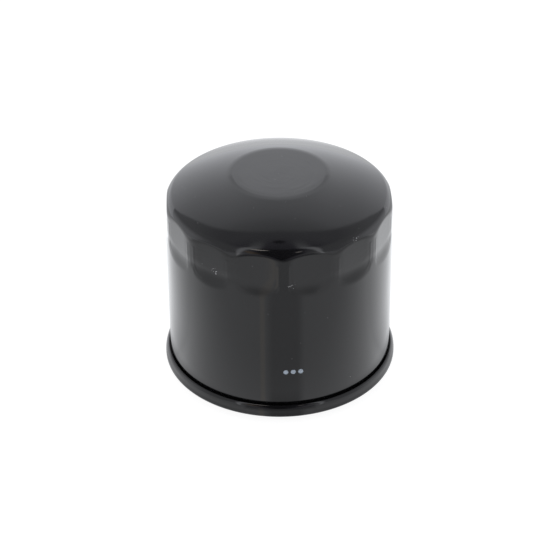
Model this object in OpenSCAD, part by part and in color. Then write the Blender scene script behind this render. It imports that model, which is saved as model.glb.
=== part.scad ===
// Spin-on oil filter: a drawn steel can with wrench flutes, double-seamed to the lid
// that carries the threaded base plate, with the pleated element and its valves inside.
// Millimetres. Z = 0 is the sealing face of the base gasket, on the thread axis,
// and +Z points to the dome.

/* [Canister] */
// Outside diameter of the can
can_d = 65.5; // [62:0.5:76]
// Height from the sealing face to the top of the dome
overall_h = 63.2; // [60:0.2:100]
// Wall of the can
can_t = 0.45; // [0.35:0.05:0.6]
// Height of the domed end above the straight wall
dome_rise = 9.4; // [8.6:0.1:10.4]
// Outside radius of the shoulder between wall and dome
shoulder_r = 3.8; // [3:0.1:5]
// Slope of the shoulder where the dome takes over, measured from the wall
shoulder_turn = 63.5; // [58:0.5:66]
// Diameter of the flat on top of the dome
flat_d = 28; // [22:0.5:34]
// Radius that softens the edge of the flat
flat_edge_r = 8; // [3:0.5:9]

/* [Wrench flutes] */
// Number of flutes round the domed end
flute_count = 14; // [12:1:15]
// Depth of the flute's flat below the can's outside, at its middle
flute_depth = 0.55; // [0.3:0.05:0.8]
// Width of one flute
flute_w = 12; // [8:0.2:13]
// Length of the flute's flat below the shoulder
flute_drop = 7.6; // [5:0.2:14]
// Radius of the run-out at the flute's lower end
flute_run_r = 5; // [3:0.5:10]
// Corner radius of the flute's outline
flute_corner_r = 3.4; // [1:0.2:3.6]
// Turn of the flutes about the axis
flute_turn = 14.9; // [0:0.1:25.7]

/* [Seam and lid] */
// Height of the rolled seam
seam_h = 4.1; // [3.6:0.1:6]
// Sheet of the lid
lid_t = 0.45; // [0.35:0.05:0.6]
// Clearance between the rolled layers
seam_gap = 0.03; // [0.02:0.01:0.06]
// Gap between a hook's end and the fold it reaches for
hook_relief = 0.5; // [0.4:0.05:0.8]
// Inside bend radius of the gasket groove
groove_bend_r = 0.45; // [0.3:0.05:0.7]
// Depth of the lip inside the gasket
lip_depth = 2; // [1.4:0.1:2.4]

/* [Base gasket] */
// Thickness of the gasket
gasket_t = 4.2; // [3.8:0.1:6]
// Height that the gasket stands below the rim
gasket_proud = 1.6; // [1:0.1:1.8]
// Width of the gasket's ring
gasket_w = 4; // [3:0.1:5]
// Corner radius of the gasket's section
gasket_round = 0.8; // [0.75:0.05:1.2]
// Side clearance of the gasket in its groove
gasket_clear = 0.2; // [0.1:0.05:0.4]

/* [Base plate] */
// Thickness of the plate
plate_t = 3; // [2.5:0.1:4]
// Outside diameter of the mounting thread
thread_d = 20; // [18:1:22]
// Pitch of the mounting thread
thread_pitch = 1.5; // [1:0.25:2]
// Length of the threaded wall
thread_len = 8; // [6:0.5:12]
// Rounding at the mouth of the thread
mouth_r = 1.5; // [1:0.1:2]
// Chamfer at the inner end of the thread
neck_chamfer = 0.4; // [0.2:0.1:0.8]
// Wall of the neck outside the thread
neck_wall = 1.5; // [1.2:0.1:2]
// Fillet at the foot of the neck
neck_fillet = 1.2; // [0.8:0.1:1.6]
// Number of inlet holes
inlet_count = 8; // [6:1:10]
// Diameter of an inlet hole
inlet_d = 5.5; // [4:0.1:5.6]
// Diameter of the circle of inlet holes
inlet_pcd = 38; // [36:0.5:40]

/* [Drainback valve] */
// Wall of the rubber sleeve on the neck
sleeve_t = 1.45; // [1:0.05:1.8]
// Height from the plate to the valve's shoulder
valve_h = 2.9; // [2.6:0.1:4]
// Thickness of the skirt
skirt_t = 0.8; // [0.6:0.05:1.1]
// Width of the sealing land outside the inlet holes
skirt_land = 1.6; // [1:0.1:2]
// Clearance between the rubber and what it sits on
rubber_gap = 0.04; // [0.02:0.01:0.08]

/* [Element] */
// Free width between the element and the can
flow_gap = 3.75; // [3:0.25:5]
// Height between the element and the inside of the dome
head_room = 10; // [9.5:0.1:12]
// Sheet of the end caps
cap_t = 0.45; // [0.35:0.05:0.6]
// Height of the end caps' outer rims
cap_rim_h = 3; // [2:0.1:4]
// Thickness of each bed of adhesive
adhesive_t = 1.5; // [1:0.1:2]
// Clearance between fitted pieces of the element
fit_gap = 0.05; // [0.03:0.01:0.08]
// Wall of the centre tube
tube_t = 0.5; // [0.4:0.05:0.7]
// Diameter of the centre tube's holes
tube_hole_d = 4; // [3:0.25:5]
// Holes in one row round the centre tube
tube_holes = 8; // [6:1:10]
// Rows of holes in the centre tube
tube_rows = 5; // [3:1:6]
// Number of pleats
pleat_count = 44; // [36:1:46]
// Thickness of the paper
media_t = 0.5; // [0.4:0.05:0.55]
// Width of one fold of the paper
fold_w = 1.4; // [1.3:0.05:1.5]
// Clearance between the paper and the centre tube
media_gap = 0.35; // [0.2:0.05:0.6]
// Strip of the paper's seam clip
clip_t = 0.4; // [0.3:0.05:0.5]
// Depth of the seam clip's legs
clip_leg = 3.4; // [2.5:0.1:4.5]

/* [Bypass valve] */
// Depth of the dish in the upper end cap
dish_depth = 2; // [1.8:0.1:2.6]
// Outside diameter of the valve's case
case_d = 19; // [17:0.5:20]
// Length of the case below its flange
case_h = 13.2; // [12:0.2:16]
// Sheet of the case
case_t = 0.4; // [0.3:0.05:0.5]
// Width of the windows in the case
window_w = 7; // [5:0.5:8]
// Height of the windows in the case
window_h = 5.5; // [4:0.5:6.5]
// Thickness of the seat plate
seat_t = 0.5; // [0.4:0.05:0.6]
// Diameter of the port in the seat plate
port_d = 7.6; // [6.5:0.1:8.5]
// Height of the bead round the port
bead_h = 0.5; // [0.4:0.05:0.7]
// Width of the bead round the port
bead_w = 0.7; // [0.5:0.05:0.9]
// Land of the rubber seal outside the bead
seal_land = 1.1; // [0.8:0.1:1.4]
// Thickness of the rubber seal
seal_t = 1; // [0.8:0.1:1.3]
// Thickness of the poppet's disc
poppet_t = 0.8; // [0.6:0.05:1]
// Height of the poppet's rim round the seal
poppet_rim_h = 0.5; // [0.3:0.05:0.6]
// Diameter of the poppet's stem
stem_d = 3; // [2.5:0.1:3.5]
// Length of stem below the case
stem_out = 1.6; // [1:0.1:2.5]
// Clearance of the stem in its guide
stem_clear = 0.06; // [0.03:0.01:0.1]
// Wire of the valve spring
wire_d = 0.9; // [0.7:0.05:1.1]
// Mean diameter of the valve spring
coil_d = 8.2; // [7:0.1:9]
// Working turns of the valve spring
coil_turns = 4.5; // [3.5:0.5:5]

/* [Load spring] */
// Sheet of the load spring
leaf_t = 0.6; // [0.5:0.05:0.7]
// Number of leaves
leaf_count = 4; // [3:1:5]
// Width of one leaf
leaf_w = 8; // [6:0.5:9]
// Distance from the axis to where a leaf meets the dome
leaf_reach = 22.5; // [20:0.5:24]
// Rise of a leaf out of the upper end cap
leaf_rise = 2.6; // [2:0.1:3.5]
// Clearance between a leaf's foot and the dome
leaf_gap = 0.1; // [0.05:0.05:0.3]

/* [Hidden] */

$fn = 120;
bend_fn = 32;
crown_fn = 480;
over = 1;

paint = "#17171a";
bare_steel = "#a9abae";
tinned_steel = "#c4c6c8";
rubber = "#1e1f20";
paper = "#d9b36a";
glue = "#6b4a2c";
spring_steel = "#8d9094";

// Canister: wall, shoulder arc, crown arc and the softened edge of the flat
can_r = can_d / 2;
bore_r = can_r - can_t;
wall_top_z = overall_h - dome_rise;
shoulder_c = [can_r - shoulder_r, wall_top_z];
shoulder_n = [cos(shoulder_turn), sin(shoulder_turn)];
crown_start = shoulder_c + shoulder_r * shoulder_n;
crown_span = [flat_d / 2, overall_h] - crown_start;
crown_r = -(crown_span * crown_span) / (2 * (crown_span * shoulder_n));
crown_c = crown_start - crown_r * shoulder_n;
edge_cz = overall_h - flat_edge_r;
edge_cx = crown_c.x + sqrt(pow(crown_r - flat_edge_r, 2) - pow(edge_cz - crown_c.y, 2));
edge_c = [edge_cx, edge_cz];
edge_n = (edge_c - crown_c) / (crown_r - flat_edge_r);

// Flutes
flat_r = can_r - flute_depth;
flute_z = wall_top_z - flute_drop;
run_drop = sqrt(pow(flute_run_r, 2) - pow(flute_run_r - flute_depth, 2));

// Double seam: five layers between the lid's chuck wall and its seaming wall
cover_hook_r = can_r + seam_gap;
body_hook_r = cover_hook_r + lid_t + seam_gap;
seam_wall_r = body_hook_r + can_t + seam_gap;
seam_r = seam_wall_r + lid_t;
chuck_out_r = bore_r - seam_gap;
chuck_in_r = chuck_out_r - lid_t;
can_fold_r = lid_t / 2 + seam_gap;
foot_fold_r = can_fold_r + can_t + seam_gap;
lid_fold_r = can_t / 2 + seam_gap;
foot_c = [cover_hook_r + lid_t / 2, gasket_proud + foot_fold_r + lid_t];
seam_top_z = gasket_proud + seam_h;
head_c = [body_hook_r + can_t / 2, seam_top_z - lid_fold_r - lid_t];
body_hook_z = head_c.y - hook_relief;
cover_hook_z = foot_c.y + hook_relief - can_fold_r;

// Gasket groove
groove_bend_z = gasket_t - groove_bend_r;
chuck_bend_r = chuck_in_r - groove_bend_r;
gasket_out_r = chuck_in_r - gasket_clear;
gasket_in_r = gasket_out_r - gasket_w;
lip_out_r = gasket_in_r - gasket_clear;
lip_in_r = lip_out_r - lid_t;
lip_bend_r = lip_out_r + groove_bend_r;

// Base plate
plate_z = gasket_t + lid_t;
plate_top_z = plate_z + plate_t;
plate_r = chuck_bend_r - fit_gap;
minor_r = (thread_d - 1.0825 * thread_pitch) / 2;
thread_z = plate_z + mouth_r;
neck_top_z = thread_z + thread_len + neck_chamfer;
neck_r = thread_d / 2 + neck_wall;

// Drainback valve
sleeve_in_r = neck_r + rubber_gap;
sleeve_out_r = sleeve_in_r + sleeve_t;
sleeve_top_z = neck_top_z - neck_chamfer;
valve_foot_z = plate_top_z + rubber_gap;
shoulder_z = plate_top_z + valve_h;
shoulder_out_r = (inlet_pcd - inlet_d) / 2;
skirt_r = (inlet_pcd + inlet_d) / 2 + skirt_land;

// Element
collar_in_r = sleeve_out_r + rubber_gap;
collar_out_r = collar_in_r + cap_t;
tube_in_r = collar_out_r + fit_gap;
tube_out_r = tube_in_r + tube_t;
cap_r = bore_r - flow_gap;
rim_in_r = cap_r - cap_t;
media_out_r = rim_in_r - fit_gap;
media_in_r = tube_out_r + media_gap;
lower_cap_z = shoulder_z + rubber_gap;
lower_floor_z = lower_cap_z + cap_t;
upper_cap_z = overall_h - can_t - head_room;
upper_floor_z = upper_cap_z - cap_t;
media_z = lower_floor_z + adhesive_t;
media_top_z = upper_floor_z - adhesive_t;
collar_top_z = lower_cap_z + cap_rim_h;
dish_z = upper_floor_z - dish_depth;
dish_floor_z = dish_z + cap_t;
pleat_pitch = 360 / pleat_count;
root_fold_w = fold_w - 2 * media_t;

// Bypass valve, stacked on the floor of the dish
case_r = case_d / 2;
case_in_r = case_r - case_t;
flange_r = collar_in_r - fit_gap;
case_floor_z = dish_floor_z - case_h;
case_inside_z = case_floor_z + case_t;
seat_z = dish_floor_z + case_t;
leaf_z = seat_z + seat_t;
port_r = port_d / 2;
bead_in_r = port_r + 0.4;
bead_z = seat_z - bead_h;
seal_r = bead_in_r + bead_w + seal_land;
seal_top_z = bead_z - rubber_gap;
disc_top_z = seal_top_z - seal_t;
disc_z = disc_top_z - poppet_t;
disc_r = seal_r + fit_gap + case_t;
stem_r = stem_d / 2;
spring_z = case_inside_z + fit_gap;
spring_top_z = disc_z - fit_gap;
leaf_ring_r = seal_r;

// ---------------------------------------------------------------- helpers

module revolve() rotate_extrude() children();

module ring(r_in, r_out, z, h) {
    translate([0, 0, z]) difference() {
        cylinder(r = r_out, h = h);
        translate([0, 0, -over]) cylinder(r = r_in, h = h + 2 * over);
    }
}

// Rectangle between two radii and two heights
module band(r_in, r_out, z, z_top) translate([r_in, z]) square([r_out - r_in, z_top - z]);

// Sheet folded back on itself: half a ring above (side = 1) or below (side = -1) its centre
module half_fold(centre, r_in, t, side) {
    r_out = r_in + t;
    translate(centre) intersection() {
        difference() {
            circle(r_out, $fn = bend_fn);
            circle(r_in, $fn = bend_fn);
        }
        translate([-r_out, side > 0 ? 0 : -r_out]) square([2 * r_out, r_out]);
    }
}

// Sheet turned through a right angle: the upper quarter of a ring towards side
module corner_fold(centre, r_in, t, side) {
    r_out = r_in + t;
    translate(centre) intersection() {
        difference() {
            circle(r_out, $fn = bend_fn);
            circle(r_in, $fn = bend_fn);
        }
        translate([side > 0 ? 0 : -r_out, 0]) square(r_out);
    }
}

// Rectangle with round corners
module round_band(r_in, r_out, z, z_top, round) {
    band(r_in + round, r_out - round, z, z_top);
    band(r_in, r_out, z + round, z_top - round);
    for (x = [r_in + round, r_out - round], y = [z + round, z_top - round])
        translate([x, y]) circle(round, $fn = bend_fn);
}

// Strip of sheet along a path, round at its joints
module strip(path, t) {
    for (i = [0 : len(path) - 2]) {
        run = path[i + 1] - path[i];
        translate(path[i]) rotate(atan2(run.y, run.x)) translate([0, -t / 2]) square([norm(run), t]);
        translate(path[i + 1]) circle(t / 2, $fn = bend_fn);
    }
}

// ---------------------------------------------------------------- canister

// Half section of the can's outside, or of its inside when inset by the wall
module can_outline(inset) {
    crown_end = crown_start - inset * shoulder_n;
    edge_end = crown_c + (crown_r - inset) * edge_n;
    band(0, can_r - inset, foot_c.y, wall_top_z);
    translate(shoulder_c) circle(shoulder_r - inset);
    intersection() {
        translate(crown_c) circle(crown_r - inset, $fn = crown_fn);
        band(0, crown_end.x, foot_c.y, edge_end.y);
    }
    translate(edge_c) circle(flat_edge_r - inset);
    band(0, edge_c.x, foot_c.y, overall_h - inset);
}

// What one flute takes out of the can: a flat with a curved run-out and round lower corners
module flute_cut(inset) {
    half_w = flute_w / 2 + inset;
    corner_r = flute_corner_r + inset;
    low_z = flute_z - run_drop - 2 * can_t;
    top_z = overall_h;
    intersection() {
        rotate([90, 0, 0]) linear_extrude(2 * half_w, center = true) {
            band(flat_r - inset, can_r + over, flute_z, top_z);
            translate([flat_r + flute_run_r, flute_z]) circle(flute_run_r + inset);
        }
        translate([flat_r - over, 0, 0]) rotate([90, 0, 90]) linear_extrude(3 * over) {
            band(-half_w, half_w, low_z + corner_r, top_z);
            band(-half_w + corner_r, half_w - corner_r, low_z, top_z);
            for (side = [-1, 1])
                translate([side * (half_w - corner_r), low_z + corner_r]) circle(corner_r, $fn = bend_fn);
        }
    }
}

module can_form(inset) {
    difference() {
        revolve() can_outline(inset);
        for (i = [0 : flute_count - 1])
            rotate(i * 360 / flute_count + flute_turn - 90) flute_cut(inset);
    }
}

module canister() {
    color(paint) {
        difference() {
            can_form(0);
            can_form(can_t);
        }
        revolve() {
            half_fold(foot_c, can_fold_r, can_t, -1);
            band(body_hook_r, body_hook_r + can_t, foot_c.y, body_hook_z);
        }
    }
}

// ---------------------------------------------------------------- lid, seam and gasket

module seaming_lid() {
    color(paint) revolve() {
        band(cover_hook_r, cover_hook_r + lid_t, cover_hook_z, head_c.y);
        half_fold(head_c, lid_fold_r, lid_t, 1);
        band(seam_wall_r, seam_r, foot_c.y, head_c.y);
        half_fold(foot_c, foot_fold_r, lid_t, -1);
        band(chuck_in_r, chuck_out_r, foot_c.y, groove_bend_z);
        corner_fold([chuck_bend_r, groove_bend_z], groove_bend_r, lid_t, 1);
        band(lip_bend_r, chuck_bend_r, gasket_t, gasket_t + lid_t);
        corner_fold([lip_bend_r, groove_bend_z], groove_bend_r, lid_t, -1);
        band(lip_in_r, lip_out_r, gasket_t - lip_depth, groove_bend_z);
    }
}

module seam_compound() {
    color(glue) ring(
        body_hook_r + seam_gap, seam_wall_r - 2 * seam_gap,
        body_hook_z + seam_gap, head_c.y - body_hook_z - seam_gap
    );
}

module base_gasket() {
    color(rubber) revolve() round_band(gasket_in_r, gasket_out_r, 0, gasket_t, gasket_round);
}

// ---------------------------------------------------------------- base plate

// Half section of the plate with its drawn neck, round mouth and thread wall
module plate_outline() {
    difference() {
        union() {
            band(0, plate_r, plate_z, plate_top_z);
            band(0, neck_r, plate_z, neck_top_z);
            band(0, neck_r + neck_fillet, plate_z, plate_top_z + neck_fillet);
        }
        translate([neck_r + neck_fillet, plate_top_z + neck_fillet]) circle(neck_fillet, $fn = bend_fn);
        band(-over, minor_r, plate_z - over, neck_top_z + over);
        difference() {
            band(minor_r - over, minor_r + mouth_r, plate_z - over, thread_z);
            translate([minor_r + mouth_r, thread_z]) circle(mouth_r, $fn = bend_fn);
        }
        translate([minor_r, neck_top_z - neck_chamfer]) polygon([
            [0, 0],
            [neck_chamfer + over, neck_chamfer + over],
            [0, neck_chamfer + over]
        ]);
    }
}

module base_plate() {
    color(bare_steel) difference() {
        revolve() plate_outline();
        for (i = [0 : inlet_count - 1])
            rotate(i * 360 / inlet_count) translate([inlet_pcd / 2, 0, plate_z - over])
                cylinder(d = inlet_d, h = plate_t + 2 * over);
    }
}

// ---------------------------------------------------------------- drainback valve

module drainback_valve() {
    foot_r = sleeve_out_r + skirt_t;
    sleeve_z = plate_top_z + neck_fillet + rubber_gap;
    color(rubber) revolve() polygon([
        [sleeve_in_r, sleeve_z],
        [sleeve_in_r + neck_fillet, sleeve_z - neck_fillet + skirt_t / 2],
        [foot_r, valve_foot_z],
        [foot_r + skirt_t, valve_foot_z],
        [foot_r + 2 * skirt_t, shoulder_z - 2 * skirt_t],
        [shoulder_out_r, shoulder_z - 1.5 * skirt_t],
        [skirt_r - skirt_land, valve_foot_z],
        [skirt_r, valve_foot_z],
        [skirt_r, valve_foot_z + skirt_t / 2],
        [shoulder_out_r + skirt_t, shoulder_z - skirt_t / 2],
        [shoulder_out_r, shoulder_z],
        [sleeve_out_r, shoulder_z],
        [sleeve_out_r, sleeve_top_z],
        [sleeve_in_r, sleeve_top_z]
    ]);
}

// ---------------------------------------------------------------- element

module lower_end_cap() {
    color(tinned_steel) {
        ring(collar_in_r, cap_r, lower_cap_z, cap_t);
        ring(collar_in_r, collar_out_r, lower_cap_z, cap_rim_h);
        ring(rim_in_r, cap_r, lower_cap_z, cap_rim_h);
    }
}

module upper_end_cap() {
    color(tinned_steel) {
        ring(collar_in_r, cap_r, upper_floor_z, cap_t);
        ring(rim_in_r, cap_r, upper_cap_z - cap_rim_h, cap_rim_h);
        ring(collar_in_r, collar_out_r, dish_z, upper_cap_z - dish_z);
        ring(case_r + fit_gap, collar_out_r, dish_z, cap_t);
    }
}

module adhesive_bed(z) ring(tube_out_r + fit_gap, rim_in_r - fit_gap, z, adhesive_t);

module lower_adhesive() color(glue) adhesive_bed(lower_floor_z);

module upper_adhesive() color(glue) adhesive_bed(media_top_z);

module centre_tube() {
    row_step = (media_top_z - media_z) / tube_rows;
    color(tinned_steel) difference() {
        ring(tube_in_r, tube_out_r, lower_floor_z, upper_floor_z - lower_floor_z);
        for (row = [0 : tube_rows - 1], i = [0 : tube_holes - 1])
            rotate((i + (row % 2) / 2) * 360 / tube_holes)
                translate([tube_in_r - over, 0, media_z + (row + 0.5) * row_step])
                    rotate([0, 90, 0]) cylinder(d = tube_hole_d, h = tube_t + 2 * over);
    }
}

function polar(r, angle) = r * [cos(angle), sin(angle)];

function turn_of(width, r) = asin(width / 2 / r);

// One side of the paper: for each pleat a fold at tip_r and a fold at root_r
function pleat_line(tip_r, tip_w, root_r, root_w) = [
    for (i = [0 : pleat_count - 1])
        let (tip_a = i * pleat_pitch, root_a = (i + 0.5) * pleat_pitch)
            each [
                polar(tip_r, tip_a - turn_of(tip_w, tip_r)),
                polar(tip_r, tip_a + turn_of(tip_w, tip_r)),
                polar(root_r, root_a - turn_of(root_w, root_r)),
                polar(root_r, root_a + turn_of(root_w, root_r))
            ]
];

module pleated_media() {
    color(paper) translate([0, 0, media_z]) linear_extrude(media_top_z - media_z) difference() {
        polygon(pleat_line(media_out_r, fold_w, media_in_r + media_t, root_fold_w));
        polygon(pleat_line(media_out_r - media_t, root_fold_w, media_in_r, fold_w));
    }
}

// Strip folded over one outer fold of the paper
module media_seam_clip() {
    spread = fold_w / 2 + 2 * fit_gap;
    back_r = media_out_r + fit_gap;
    clip_z = collar_top_z + fit_gap;
    clip_top_z = upper_cap_z - cap_rim_h - fit_gap;
    color(tinned_steel) translate([0, 0, clip_z]) linear_extrude(clip_top_z - clip_z) {
        for (side = [-1, 1])
            translate([back_r - clip_leg, side > 0 ? spread : -spread - clip_t])
                square([clip_leg + clip_t, clip_t]);
        translate([back_r, -spread - clip_t]) square([clip_t, 2 * (spread + clip_t)]);
    }
}

// ---------------------------------------------------------------- bypass valve

module bypass_case() {
    color(tinned_steel) difference() {
        union() {
            ring(case_in_r, flange_r, dish_floor_z, case_t);
            ring(case_in_r, case_r, case_floor_z, case_h + case_t);
            ring(stem_r + stem_clear, case_r, case_floor_z, case_t);
        }
        for (a = [0, 90])
            rotate(a) translate([0, 0, case_inside_z + 1.5 + window_h / 2])
                cube([2 * case_d, window_w, window_h], center = true);
    }
}

module bypass_seat() {
    color(tinned_steel) {
        ring(port_r, flange_r, seat_z, seat_t);
        ring(bead_in_r, bead_in_r + bead_w, bead_z, bead_h + seat_t);
    }
}

module bypass_seal() {
    color(rubber) translate([0, 0, disc_top_z]) cylinder(r = seal_r, h = seal_t);
}

module bypass_poppet() {
    stem_z = case_floor_z - stem_out;
    color(spring_steel) {
        translate([0, 0, disc_z]) cylinder(r = disc_r, h = poppet_t);
        ring(seal_r + fit_gap, disc_r, disc_z, poppet_t + poppet_rim_h);
        translate([0, 0, stem_z]) cylinder(r = stem_r, h = disc_top_z - stem_z);
    }
}

coil_steps = 20;
coil_sides = 8;
closed_pitch = 1.08 * wire_d;
coil_h = spring_top_z - spring_z - wire_d;
open_pitch = (coil_h - 2 * closed_pitch) / coil_turns;

// Height of the wire's centre: a closed turn, the working turns, a closed turn
function coil_rise(turn) =
    closed_pitch * min(turn, 1)
    + open_pitch * max(0, min(turn - 1, coil_turns))
    + closed_pitch * max(0, turn - 1 - coil_turns);

function coil_point(step, side) =
    let (turn = step / coil_steps, a = turn * 360, b = side * 360 / coil_sides)
    let (r = coil_d / 2 + wire_d / 2 * cos(b))
        [r * cos(a), r * sin(a), spring_z + wire_d / 2 + coil_rise(turn) + wire_d / 2 * sin(b)];

module bypass_spring() {
    steps = ceil((coil_turns + 2) * coil_steps);
    points = [for (step = [0 : steps], side = [0 : coil_sides - 1]) coil_point(step, side)];
    walls = [
        for (step = [0 : steps - 1], side = [0 : coil_sides - 1])
            let (a = step * coil_sides, b = a + coil_sides, next = (side + 1) % coil_sides)
                [a + side, a + next, b + next, b + side]
    ];
    start_cap = [for (side = [coil_sides - 1 : -1 : 0]) side];
    end_cap = [for (side = [0 : coil_sides - 1]) steps * coil_sides + side];
    color(spring_steel) polyhedron(points, concat(walls, [start_cap, end_cap]), convexity = 10);
}

// ---------------------------------------------------------------- load spring

function crown_inside_z(r) = crown_c.y + sqrt(pow(crown_r - can_t, 2) - pow(r - crown_c.x, 2));

module load_spring() {
    bend_r = flange_r - leaf_t;
    foot_z = crown_inside_z(leaf_reach) - leaf_t / 2 - leaf_gap;
    toe_r = leaf_reach + 2;
    path = [
        [leaf_ring_r + leaf_t, leaf_z + leaf_t / 2],
        [bend_r - leaf_t, leaf_z + leaf_t / 2],
        [bend_r, leaf_z + leaf_t / 2 + leaf_rise],
        [leaf_reach, foot_z],
        [toe_r, crown_inside_z(toe_r) - 2 * leaf_t]
    ];
    color(spring_steel) {
        ring(leaf_ring_r, bend_r - leaf_t, leaf_z, leaf_t);
        for (i = [0 : leaf_count - 1])
            rotate((i + 0.5) * 360 / leaf_count) rotate([90, 0, 0])
                linear_extrude(leaf_w, center = true) strip(path, leaf_t);
    }
}

canister();
seaming_lid();
seam_compound();
base_plate();
base_gasket();
drainback_valve();
lower_end_cap();
lower_adhesive();
centre_tube();
pleated_media();
media_seam_clip();
upper_adhesive();
upper_end_cap();
bypass_case();
bypass_seat();
bypass_seal();
bypass_poppet();
bypass_spring();
load_spring();
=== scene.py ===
"""Looks of the spin-on oil filter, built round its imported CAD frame. Lengths are in metres."""

import math

import bmesh
import bpy
import numpy as np
from mathutils import Matrix, Vector


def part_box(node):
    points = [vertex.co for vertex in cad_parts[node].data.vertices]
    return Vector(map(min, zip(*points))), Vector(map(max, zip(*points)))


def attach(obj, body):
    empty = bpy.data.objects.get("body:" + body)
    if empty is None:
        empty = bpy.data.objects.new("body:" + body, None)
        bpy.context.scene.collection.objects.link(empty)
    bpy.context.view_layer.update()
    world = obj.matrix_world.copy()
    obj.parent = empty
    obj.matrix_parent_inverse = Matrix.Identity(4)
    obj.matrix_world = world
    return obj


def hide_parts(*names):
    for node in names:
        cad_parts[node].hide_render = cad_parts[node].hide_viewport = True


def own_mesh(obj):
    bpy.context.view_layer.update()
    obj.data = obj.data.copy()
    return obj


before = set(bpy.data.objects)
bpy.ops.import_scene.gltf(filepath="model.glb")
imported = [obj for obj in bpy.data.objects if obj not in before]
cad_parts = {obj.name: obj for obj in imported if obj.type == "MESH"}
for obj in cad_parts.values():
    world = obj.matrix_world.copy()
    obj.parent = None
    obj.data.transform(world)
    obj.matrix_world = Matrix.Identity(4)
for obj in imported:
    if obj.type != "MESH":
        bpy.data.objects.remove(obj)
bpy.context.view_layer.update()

MM = 0.001

# ------------------------------------------------------------------ sizes, from the frame

_, can_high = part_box("canister")
lid_low, lid_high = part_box("seaming_lid")
gasket_low, gasket_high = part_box("base_gasket")
plate_low, plate_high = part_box("base_plate")
valve_low, valve_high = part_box("drainback_valve")
spring_low, spring_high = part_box("bypass_spring")

TOP = can_high.z
SHEET = plate_low.z - gasket_high.z
SEAM_GAP = lid_high.x - SHEET - can_high.x
CAN_R = can_high.x - 2 * SHEET - 2 * SEAM_GAP

# Can: wall, shoulder arc, crown arc and the softened edge of the flat
SHOULDER_R = 3.8 * MM
SHOULDER_TURN = math.radians(63.5)
DOME_RISE = 9.4 * MM
FLAT_R = 14.0 * MM
FLAT_EDGE_R = 8.0 * MM

# Flutes: flats pressed into the can's shoulder
FLUTES = 14
FLUTE_TURN = math.radians(14.9 - 90)
FLUTE_DEPTH = 0.55 * MM
FLUTE_Z = TOP - DOME_RISE - 6.9 * MM
FLUTE_RUN_R = 11.0 * MM
FLUTE_HALF_W = 6.0 * MM
FLUTE_CORNER_R = 1.2 * MM
FLUTE_SOFT = 0.3 * MM
FLUTE_FOOT_SOFT = 0.65 * MM
FLUTE_BEAD = 0.05 * MM
FLUTE_BEAD_REACH = 0.06 * MM
FLUTE_COLUMNS = 56

# Double seam and lid. Turns in degrees
FOOT_FOLD_R = 2.5 * SHEET + 2 * SEAM_GAP
HEAD_FOLD_R = SHEET * 1.5 + SEAM_GAP
HOOK_RELIEF = 0.5 * MM
SEAM_FACE_R = 5.5 * MM
SEAM_FACE_TURN = 17
SEAM_BROW_R = 1.3 * MM
SEAM_BROW_TURN = 60
SEAM_CREST_R = 0.25 * MM
SEAM_SINK = 0.1 * MM
NECK_RISE = 1.2 * MM
NECK_BEND_R = 2.6 * MM
NECK_TURN = 32
GROOVE_BEND_R = 0.45 * MM
LIP_DEPTH = 2.0 * MM
GASKET_W = 4.0 * MM
GASKET_CLEAR = 0.2 * MM
GASKET_ROUND = 0.8 * MM

# Base plate
THREAD_R = 10.0 * MM
THREAD_PITCH = 1.5 * MM
THREAD_DEPTH = 0.54125 * THREAD_PITCH
MOUTH_R = 1.5 * MM
NECK_CHAMFER = 0.4 * MM
NECK_R = 11.5 * MM
NECK_FILLET = 1.2 * MM
PLATE_T = 3.0 * MM
INLETS = 8
INLET_R = 2.75 * MM
INLET_PITCH_R = 19.0 * MM
INLET_BEVEL = 0.25 * MM

# Drainback valve, from its foot up
SLEEVE_CLEAR = 0.04 * MM
SLEEVE_T = 1.45 * MM
SLEEVE_Z = valve_low.z + 2.86 * MM
SLEEVE_FOOT = 1.3 * MM
SKIRT_Z = valve_low.z + 2.82 * MM
SKIRT_T = 0.8 * MM
SKIRT_START_R = NECK_R + 1.9 * MM
SKIRT_SHOULDER_R = 16.25 * MM

# Bypass spring
WIRE_R = 0.45 * MM
SPRING_TURNS = 6.5
CLOSED_PITCH = 1.08 * 2 * WIRE_R

# Room, by direction: middle (side, deep), half sizes and strength of the small things in it
DARK_SLIT = ((-0.001, 0.068), (0.03, 0.009), 0.95)
LAMP = ((-0.1, -0.095), (0.055, 0.035), 3.6)
FAR_LAMP = ((0.125, -0.25), (0.022, 0.07), 1.3)
BROWN_THING = ((-0.2, -0.37), (0.07, 0.17), 0.16)

# Back wall: where its lit part ends, and pairs of deep and strength above and below that edge
WALL_EDGE = 0.115
EDGE_BOW = 12.0
EDGE_BOW_LIMIT = 0.36
LIT_WALL = [
    (0.12, 0.66), (0.135, 0.72), (0.165, 0.84), (0.2, 1.03),
    (0.25, 1.17), (0.33, 1.33), (0.5, 1.55), (0.62, 1.62),
]
DIM_WALL = [(0.02, 0.1), (0.06, 0.28), (0.09, 0.42), (0.11, 0.45)]

# Table: its edges, and the turns of the painted shade before the can and of a painted warm streak on it, as
# slants
TABLE_FRONT, TABLE_BACK, TABLE_SIDE = -0.62, 2.4, 1.8
SHADE_SLANT = 0.094
WARM_SLANT = -0.315

# Camera: the photograph's
CAMERA_LIFT = math.radians(33.65)
CAMERA_DISTANCE = 0.5613
CAMERA_LENS = 122.95
CAMERA_SENSOR = 36
CAMERA_NEAR = 0.01
CAMERA_ROLL = -0.006
CAMERA_SHIFT = (0.0010, -0.0165)
LOOK_AT = Vector((0, 0, 0.471 * TOP))


# ------------------------------------------------------------------ shader nodes


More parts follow.
